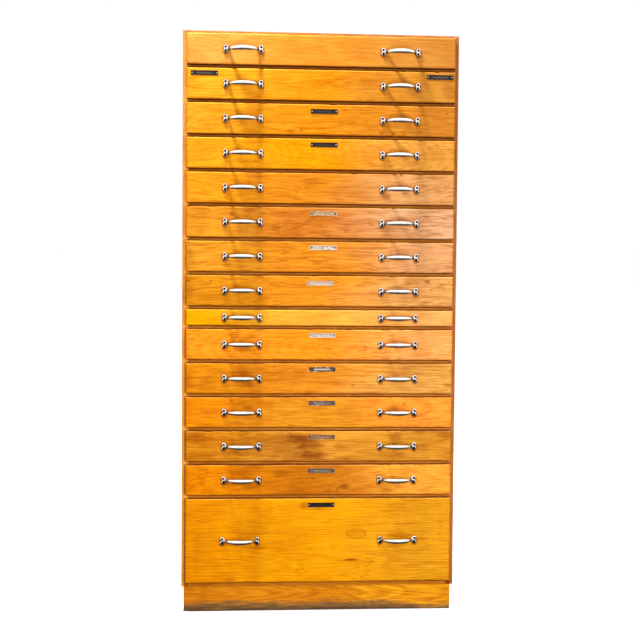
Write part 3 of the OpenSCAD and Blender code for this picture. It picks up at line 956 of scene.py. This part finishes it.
def add_hardware():
    """The pulls, their screws, and the label plates of all the drawers."""
    metal = cast_metal()
    steel = dark_steel()
    pull = pull_mesh()
    screw = screw_mesh(head_radius=0.0038, head_height=0.0011, slot_width=0.0008)
    pin = screw_mesh(head_radius=0.0016, head_height=0.0007, slot_width=0.0004)
    rng = random.Random(7)
    for d in DRAWERS:
        node = f"drawer_{d:02d}_hardware"
        for side, centre in pull_centres(d).items():
            at = Matrix.Translation(centre)
            add_piece(f"drawer_{d:02d}_{side}_pull", placed_copies(pull, [at]), metal, body_name(d),
                      [node], smooth_angle=60)
            places = []
            for x in (-FOOT_X, FOOT_X):
                for z in (-FOOT_SCREW_Z, FOOT_SCREW_Z):
                    spin = Matrix.Rotation(rng.uniform(0, math.pi), 4, "Z")
                    places.append(at @ Matrix.Translation((x, -SCREW_SEAT, z)) @ OUTWARD @ spin)
            add_piece(f"drawer_{d:02d}_{side}_pull_screws", placed_copies(screw, places), steel,
                      body_name(d), [node])
        for i, centre in enumerate(label_centres(d)):
            add_label(d, ["", "_right"][i], centre, pin, metal, steel, rng)


def add_label(d, end, centre, pin, metal, steel, rng):
    """A label plate and its two pins."""
    node = f"drawer_{d:02d}_hardware"
    enamel, bare, wear, streak = LABEL_LOOKS[d]
    black = d in BLACK_LABELS
    pin_metal, pin_slot = (metal, "pull_metal") if black else (steel, "dark_screws")
    finish = label_finish(f"label_{d:02d}{end}", colour(enamel), colour(bare), wear, streak, centre, d)
    at = Matrix.Translation(centre)
    bm = label_mesh(d)
    bmesh.ops.transform(bm, matrix=at, verts=bm.verts)
    add_piece(f"drawer_{d:02d}_label{end}", bm, finish, body_name(d),
              [node])
    places = []
    for side in (-1, 1):
        spin = Matrix.Rotation(rng.uniform(0, math.pi), 4, "Z")
        out = Matrix.Translation((side * (LABEL_SIZE[0] / 2 - LABEL_PIN_IN), -LABEL_THICKNESS, 0))
        places.append(at @ out @ OUTWARD @ spin)
    add_piece(f"drawer_{d:02d}_label{end}_pins", placed_copies(pin, places), pin_metal,
              body_name(d), [node])


def gaps(paint, z):
    """1 at the height of a gap between two fronts, and 0 elsewhere."""
    inside = 0.0
    for d in list(DRAWERS)[:-1]:
        low, high = front_box[d + 1][1].z, front_box[d][0].z
        off = paint.apart(z, (low + high) / 2)
        inside = paint.math("MAXIMUM", inside, paint.math("LESS_THAN", off, (high - low) / 2))
    return inside


def on_case_front(paint, y):
    """1 on the front edges of the case, and 0 behind them."""
    return paint.math("LESS_THAN", y, case_front_y + 0.001)


def case_corner_shade(paint, tint):
    """Painted shade in the corner between the case and the ends of the fronts, most of it low down."""
    corner_shade_share = (0.40, 0.20, 0.05, 1.0)
    x, y, z = paint.split(paint.place)[:3]
    x = paint.nudge(paint.math("ABSOLUTE", x), paint.noise(paint.place, (30, 30, 30), detail=3.0), 0.003)
    near = paint.ramp(x, case_half_width - 0.0095, case_half_width - 0.0070, 1.0, 0.0)
    near = paint.math("MULTIPLY", near, paint.ramp(z, 0.3, 1.35, 1.0, 0.2))
    near = paint.math("MULTIPLY", near, on_case_front(paint, y))
    near = paint.math("MULTIPLY", near, paint.math("SUBTRACT", 1.0, gaps(paint, z)))
    # Painted shade on the case's front edges beside the ends of the fronts, fading towards the top.
    return paint.tone_down(near, tint, corner_shade_share)


def gap_shade_and_dirt(paint, tint):
    """Painted shade and dirt lines on the rails, where the edges of the fronts above and below each gap
    come close.
    """
    _, y, z = paint.split(paint.place)[:3]
    rough = paint.noise(paint.place, (45.0, 1.0, 200.0), detail=3.0, roughness=0.6)
    z = paint.nudge(z, rough, 0.0018)
    dirt = 0.0
    for d in DRAWERS:
        bottom, top = front_box[d][0].z, front_box[d][1].z
        deep = 0.0004 + 0.0003 * d    # the painted shade lines under the fronts are deeper lower down
        under = paint.math("MULTIPLY", paint.ramp(z, bottom - deep - 0.0008, bottom - deep + 0.0008),
                           paint.ramp(z, bottom + 0.004, bottom + 0.010, 1.0, 0.0))
        over = paint.math("MULTIPLY", paint.ramp(z, top + 0.0006, top + 0.0020, 0.9, 0.0),
                          paint.ramp(z, top - 0.008, top - 0.003))
        dirt = paint.math("MAXIMUM", dirt, under)
        dirt = paint.math("MAXIMUM", dirt, over)
    dirt = paint.math("MULTIPLY", paint.math("MULTIPLY", dirt, 0.85), on_case_front(paint, y))
    # Painted shade, with some dirt, in the crevices at the top and bottom of each gap.
    return paint.tone_down(dirt, tint, SOOT_AND_SHADE_SHARE)


def plinth_grime(paint, tint):
    """Floor dirt along the lower part of the plinth, and sweeping figure in its right part."""
    pale_share = (1.2, 1.45, 1.2, 1.0)
    stripe_share = (0.72, 0.6, 0.6, 1.0)
    dust = (0.17, 0.095, 0.034, 1.0)
    dark_dirt = (0.07, 0.04, 0.022, 1.0)
    x, _, z = paint.split(paint.place)[:3]
    along = paint.math("MAXIMUM", paint.math("SUBTRACT", x, 0.02), -0.02)
    fall = paint.math("MULTIPLY", paint.math("EXPONENT", paint.math("MULTIPLY", along, -9.0)), 0.10)
    level = paint.math("SUBTRACT", z, fall)
    stripes = paint.noise(paint.join(level, 0.0, x), (230.0, 1.0, 5.0), detail=3.0, roughness=0.6)
    stripes = paint.math("MULTIPLY", paint.ramp(stripes, 0.44, 0.62), paint.ramp(x, -0.01, 0.05, 0.0, 0.9))
    tint = paint.mix(paint.ramp(x, -0.02, 0.15), tint, paint.times(tint, pale_share))
    tint = paint.tone_down(stripes, tint, stripe_share)
    ragged = paint.noise(paint.place, (20.0, 1.0, 220.0), detail=5.0, roughness=0.75)
    height = paint.math("ADD", paint.nudge(z, ragged, 0.07), paint.ramp(x, 0.18, 0.34, 0.0, 0.012))
    tint = paint.mix(paint.ramp(height, 0.014, 0.034, 0.95, 0.0), tint, dust)
    return paint.mix(paint.ramp(height, 0.002, 0.018, 0.9, 0.0), tint, dark_dirt)


def dress_case():
    """The woods of the CAD's own nodes: the case, its inner parts, the plinth and the drawer boxes."""
    upright = wood("case_wood_left", colour("#d89b45"), seed=31, grain="Z", centre=(0.9, 0.1),
                   depth=0.05, slope=0.05, after=case_corner_shade)
    # A darker copy of the case wood for the right side panel and the right end of the plinth: painted
    # shade, standing in for the shade the fronts cast on the right edge strip.
    browner = wood("case_wood_right_shaded", colour("#a66a36"), seed=38, grain="Z", centre=(0.6, -0.1),
                   depth=0.05, slope=0.05, after=case_corner_shade)
    level = wood("case_wood_level", colour("#d8964c"), seed=32, centre=(0.1, 0.0), depth=0.05)
    bleached = wood("case_wood_top", colour("#dcae78"), seed=40, centre=(0.1, 0.0), depth=0.05)
    rail = wood("rail_wood", colour("#c67c2c"), seed=33, roughness=0.62, after=gap_shade_and_dirt)
    sole = wood("case_wood_bottom", colour("#b06916"), seed=39, after=gap_shade_and_dirt)
    runner = wood("runner_wood", colour("#b98d58"), seed=34, grain="Y", shine=0.2, roughness=0.72)
    ply = wood("ply_back", colour("#b98a55"), seed=35, grain="Z", shine=0.2, roughness=0.77,
               spacing=0.012, depth=0.02, centre=(0.8, 0.0), figure=0.3)
    boxes = wood("box_wood", colour("#d9b784"), seed=36, grain="Y", shine=0.2, roughness=0.72)
    plinth = wood("plinth_wood", wood_colour("#e49216"), seed=37, blotch=0.5, figure=0.25,
                  centre=(-0.1, 0.05), depth=0.02, slope=0.08, pores=0.5, after=plinth_grime)
    for node in ("left_side_panel", "plinth_left"):
        dress(node, upright)
    # Painted shade: the right side takes the darker copy of the case wood.
    for node in ("right_side_panel", "plinth_right"):
        dress(node, browner)
    dress("top_panel", bleached)
    dress("plinth_back", level)
    dress("bottom_panel", sole)
    dress("front_rails", rail)
    for node in ("left_runners", "right_runners", "drawer_stops"):
        dress(node, runner)
    dress("back_panel", ply, bevel=0)
    dress("back_panel_screws", dark_steel(), bevel=0)
    dress("plinth_front", plinth, bevel=0.0015)
    dress("plinth_corner_blocks", boxes)
    for d in DRAWERS:
        dress(f"drawer_{d:02d}_box", boxes)


add_camera()
add_lamps()
add_world()
add_floor()
dress_case()
add_fronts()
add_hardware()
